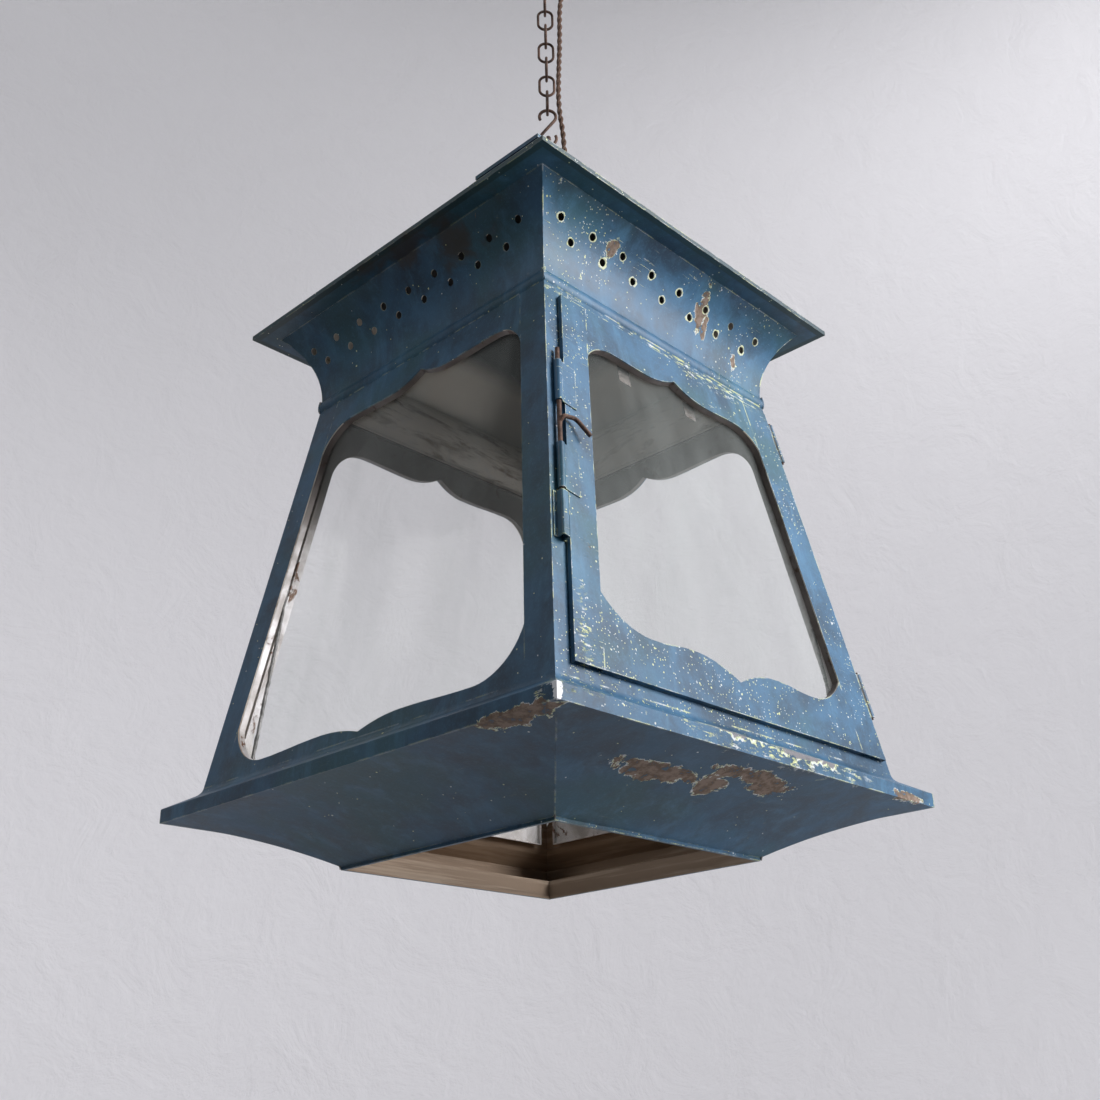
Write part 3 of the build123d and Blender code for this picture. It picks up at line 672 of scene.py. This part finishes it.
def makeVentRings():
    picker = random.Random(vents["seed"])
    points, faces = [], []
    steps = vents["ringSteps"]
    for row in vents["rows"]:
        tilt = math.asin((row["height"] - vents["coveCentre"][1]) / vents["coveRadius"])
        for i in range(row["count"]):
            middle = row["shift"] + (i - (row["count"] - 1) / 2) * row["pitch"]
            amount = picker.random()
            seed = Vector((picker.random() * 50, picker.random() * 50, 0))
            if amount > row["chipped"]:
                continue
            start = len(points)
            for k in range(steps):
                a = 2 * math.pi * k / steps
                around = Vector((math.cos(a), math.sin(a), 0))
                rough = 0.5 + noise.noise(seed + around * 0.9)
                rough += 0.4 * noise.noise(seed + around * 3.0)
                least, extra = vents["ringWidth"]
                width = least + extra * max(0.0, rough) * (0.5 + amount * 0.7)
                for reach, lift in (
                    (vents["holeRadius"] - 0.15, 0.0),
                    (vents["holeRadius"] + 0.1, vents["lift"]),
                    (vents["holeRadius"] + width * 0.75, vents["lift"]),
                    (vents["holeRadius"] + width, -0.05),
                ):
                    spot = around * reach
                    spotTilt = tilt + spot.y / vents["coveRadius"]
                    points.append(covePoint(row["side"], middle + spot.x, spotTilt, lift))
            for k in range(steps):
                n = (k + 1) % steps
                for strip in range(3):
                    a, b = start + k * 4 + strip, start + n * 4 + strip
                    faces.append((a, a + 1, b + 1, b))
    piece = addMesh("ventRings", points, faces, finishes["ring_chip"])
    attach(piece, "lantern")


# Solder: lumpy beads down the corners of the mouth's collar and inside the body

solder = {
    "beadRadius": 0.0016,
    "thinner": 0.9,
    "lumpiness": 0.45,
    "sides": 10,
    "step": 0.0016,
    "seedStep": 3.7,
    "collar": ((112.4, -48.5), (112.4, -34.5)),
    "body": ((134.2, 346.0), (163.5, 30.0)),
}


def solderBead(start, end, radius, seed):
    count = max(6, int((end - start).length / solder["step"]))
    line = [start.lerp(end, i / count) for i in range(count + 1)]

    def radiusAt(i, a):
        ends = min(1.0, 0.25 + min(i, count - i) / 3.0)
        lump = noise.noise(Vector((i * 0.35, math.cos(a) * 0.8, seed))) * solder["lumpiness"]
        return radius * ends * (1.0 + lump)

    return sweep(line, radiusAt, solder["sides"])


def makeSolder():
    points, faces = [], []
    seed = 0.0
    beads = ((solder["collar"], 1.0), (solder["body"], solder["thinner"]))
    for side in (doorSide, leftSide, backSide, rightSide):
        for ends, share in beads:
            first, last = (lanternPoint(side, out, out, height) for out, height in ends)
            more, rings = solderBead(first, last, solder["beadRadius"] * share, seed)
            faces += [tuple(len(points) + v for v in f) for f in rings]
            points += more
            seed += solder["seedStep"]
    piece = addMesh("solderBeads", points, faces, finishes["solder"])
    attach(piece, "lantern")


# Tabs: small tongues bent over the head of the door's pane

tabs = {
    "wide": 13.0,
    "long": 9.0,
    "thick": 0.6,
    "proud": 1.0,
    "narrowEnd": 0.82,
    "at": [(-52, 299), (28, 300)],
    "lean": 0.15654,
    "bodyHalf": 190.5,
}


def facePoint(side, sideways, height, proud):
    # on a leaning side of the body; height is above the rim and proud is out from the sheet
    lean = math.atan(tabs["lean"])
    outward = tabs["bodyHalf"] - tabs["lean"] * height + proud * math.cos(lean)
    return lanternPoint(side, outward, sideways, height + proud * math.sin(lean))


def makeTabs():
    points, faces = [], []
    tip = -tabs["long"]
    profile = [(6.0, -6.2), (2.0, -6.4), (-1.0, -7.0), (tip + 1, -6.6), (tip, -6.2)]
    for sideways, height in tabs["at"]:
        start = len(points)
        for rise, deep in profile:
            wide = tabs["wide"] * (tabs["narrowEnd"] if rise == tip else 1.0)
            for thick in (0.0, -tabs["thick"]):
                proud = tabs["proud"] + deep + thick
                for edge in (-0.5, 0.5):
                    points.append(facePoint(doorSide, sideways + edge * wide, height + rise, proud))
        for i in range(len(profile) - 1):
            a, b = start + 4 * i, start + 4 * i + 4
            faces += [(a, a + 1, b + 1, b), (a + 2, b + 2, b + 3, a + 3)]
            faces += [(a, b, b + 2, a + 2), (a + 1, a + 3, b + 3, b + 1)]
        last = start + 4 * (len(profile) - 1)
        faces += [(start, start + 2, start + 3, start + 1), (last, last + 1, last + 3, last + 2)]
    piece = addMesh("doorTabs", points, faces, finishes["bare_tin"], smooth=False)
    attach(piece, "door")


makeVentRings()
makeSolder()
makeTabs()
print("vent rings, solder and tabs made")


# Flex: two cores in braided cotton, twisted round each other from the ceiling gland to the cap

flex = {
    "route": [
        (23.69, -3.75, 889),
        (23.69, -3.75, 860),
        (14.5, 6.5, 815),
        (14.0, 5.0, 764),
        (11.5, 9.0, 716),
        (10.5, 11.5, 676),
        (14.97, 12.0, 636),
        (14.97, 12.0, 606),
    ],
    "diameter": 0.0052,
    "length": 0.285,
    "coreRadius": 0.00142,
    "coreOffset": 0.00116,
    "turnLength": 0.019,
    "sides": 14,
    "bendFrom": -0.205,
    "bendTo": -0.290,
}


def flexPoint(right, front, height):
    across = math.sqrt(0.5)
    return Vector(
        (
            (right - front) * across * millimetre,
            (-right - front) * across * millimetre,
            height * millimetre - ceilingDrop,
        )
    )


def splineLine(points, resolution):
    curve = bpy.data.curves.new("flexLine", "CURVE")
    curve.dimensions = "3D"
    spline = curve.splines.new("NURBS")
    spline.points.add(len(points) - 1)
    for place, point in zip(spline.points, points):
        place.co = (*point, 1.0)
    spline.order_u = 3
    spline.use_endpoint_u = True
    curve.resolution_u = resolution
    holder = bpy.data.objects.new("flexLine", curve)
    bpy.context.scene.collection.objects.link(holder)
    bpy.context.view_layer.update()
    mesh = bpy.data.meshes.new_from_object(holder)
    line = [v.co.copy() for v in mesh.vertices]
    bpy.data.objects.remove(holder)
    bpy.data.meshes.remove(mesh)
    return line


def makeFlex():
    line = splineLine([flexPoint(*p) for p in flex["route"]], 40)
    travelled = [0.0]
    for a, b in zip(line, line[1:]):
        travelled.append(travelled[-1] + (b - a).length)
    cores, faces, along = [], [], []
    for core in range(2):
        centre = []
        side = Vector((1, 0, 0))
        for i, point in enumerate(line):
            ahead = (line[min(i + 1, len(line) - 1)] - line[max(i - 1, 0)]).normalized()
            side = (side - ahead * side.dot(ahead)).normalized()
            other = ahead.cross(side)
            turn = 2 * math.pi * travelled[i] / flex["turnLength"] + math.pi * core
            away = side * math.cos(turn) + other * math.sin(turn)
            centre.append(point + away * flex["coreOffset"])
        points, rings = sweep(centre, lambda i, a: flex["coreRadius"], flex["sides"])
        start = len(cores)
        cores += points
        faces += [tuple(start + v for v in f) for f in rings]
        along += [travelled[k // flex["sides"]] for k in range(len(points))]
    piece = addMesh("twistedFlex", cores, faces, finishes["flex_cover"])
    strand = piece.data.uv_layers.new(name="strand")
    for loop in piece.data.loops:
        angle = (loop.vertex_index % flex["sides"]) / flex["sides"]
        strand.data[loop.index].uv = (angle * 9.0, along[loop.vertex_index] * 1000.0)
    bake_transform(piece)
    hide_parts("flex")


makeFlex()
print("flex made")


# Stage: pale plaster wall curving round behind, a pale floor, soft light from the door side

stage = {
    "wallRadius": 2.3,
    "wallFrom": -42,
    "wallTo": 122,
    "wallTop": 4.2,
    "floorHeight": -2.2,
    "floorRadius": 9.0,
    "wallColour": (0.74, 0.735, 0.76),
    "floorColour": (0.50, 0.495, 0.50),
    "worldLight": 0.15,
    "worldSeen": 0.62,
    "lightColour": (1.0, 0.99, 1.0),
    "lights": {
        "softWindow": {
            "at": (0.95, -2.15, 0.30),
            "aim": (0, 0, -0.60),
            "size": (1.5, 1.7),
            "power": 23.0,
            "spread": 80,
        },
        "leftFill": {
            "at": (-2.0, 0.3, 0.6),
            "aim": (0, 0, -0.7),
            "size": (1.2, 1.2),
            "power": 2.2,
            "spread": 80,
        },
        "wallRight": {
            "at": (0.9, -0.7, 1.7),
            "aim": (2.1, 0.9, 0.1),
            "size": (0.6, 1.2),
            "power": 23.0,
            "spread": 150,
        },
        "wallAbove": {
            "at": (-0.5, 0.9, 2.7),
            "aim": (1.3, 1.7, 1.2),
            "size": (1.8, 0.8),
            "power": 12.0,
            "spread": 160,
        },
        "wallLow": {
            "at": (0.9, -1.0, -1.9),
            "aim": (2.2, 0.5, -0.6),
            "size": (1.2, 0.8),
            "power": 18.0,
            "spread": 150,
        },
    },
}


def makePlaster(name, colour):
    material, tree, shader = startMaterial(name)
    where = tree.nodes.new("ShaderNodeTexCoord").outputs["Object"]
    trowel = grain(tree, where, 7.0, 6.0, 0.62, 0.8)
    pits = grain(tree, where, 34.0, 5.0, 0.6, 0.4)
    darker = tuple(c * 0.965 for c in colour)
    wire(tree, blendColour(tree, trowel, darker, colour), shader.inputs["Base Color"])
    shader.inputs["Roughness"].default_value = 0.9
    shader.inputs["Specular IOR Level"].default_value = 0.2
    rough = sums(tree, "ADD", trowel, both(tree, pits, 0.30))
    wire(tree, bumps(tree, rough, 0.010, 0.7), shader.inputs["Normal"])
    return material


def makeStage():
    points, faces = [], []
    steps = 96
    for i in range(steps + 1):
        a = math.radians(stage["wallFrom"] + (stage["wallTo"] - stage["wallFrom"]) * i / steps)
        x, y = math.cos(a) * stage["wallRadius"], math.sin(a) * stage["wallRadius"]
        points += [(x, y, stage["floorHeight"]), (x, y, stage["wallTop"])]
    for i in range(steps):
        faces.append((2 * i, 2 * i + 1, 2 * i + 3, 2 * i + 2))
    wall = addMesh("backWall", points, faces, makePlaster("palePlaster", stage["wallColour"]))
    rings = [
        (
            math.cos(2 * math.pi * i / steps) * stage["floorRadius"],
            math.sin(2 * math.pi * i / steps) * stage["floorRadius"],
            stage["floorHeight"],
        )
        for i in range(steps)
    ]
    floorFinish = makePlaster("paleFloor", stage["floorColour"])
    floor = addMesh("paleFloor", rings, [tuple(range(steps))], floorFinish)


def addLight(name, values):
    data = bpy.data.lights.new(name, "AREA")
    data.shape = "RECTANGLE"
    data.size, data.size_y = values["size"]
    data.energy = values["power"]
    data.spread = math.radians(values["spread"])
    data.color = stage["lightColour"]
    lamp = bpy.data.objects.new(name, data)
    bpy.context.scene.collection.objects.link(lamp)
    lamp.location = values["at"]
    towards = Vector(values["aim"]) - Vector(values["at"])
    lamp.rotation_euler = towards.to_track_quat("-Z", "Y").to_euler()


def makeLight():
    world = bpy.data.worlds.new("studioAir")
    bpy.context.scene.world = world
    world.use_nodes = True
    tree = world.node_tree
    tree.nodes.clear()
    seen = tree.nodes.new("ShaderNodeLightPath").outputs["Is Camera Ray"]
    strength = put(
        tree,
        "ShaderNodeMapRange",
        {"Value": seen, "To Min": stage["worldLight"], "To Max": stage["worldSeen"]},
    ).outputs[0]
    air = put(
        tree, "ShaderNodeBackground", {"Color": (0.93, 0.96, 1.0, 1.0), "Strength": strength}
    )
    output = tree.nodes.new("ShaderNodeOutputWorld")
    tree.links.new(air.outputs[0], output.inputs[0])
    for name, values in stage["lights"].items():
        addLight(name, values)
    bpy.context.scene.view_settings.view_transform = "Standard"


makeStage()
makeLight()
print("stage and light made")
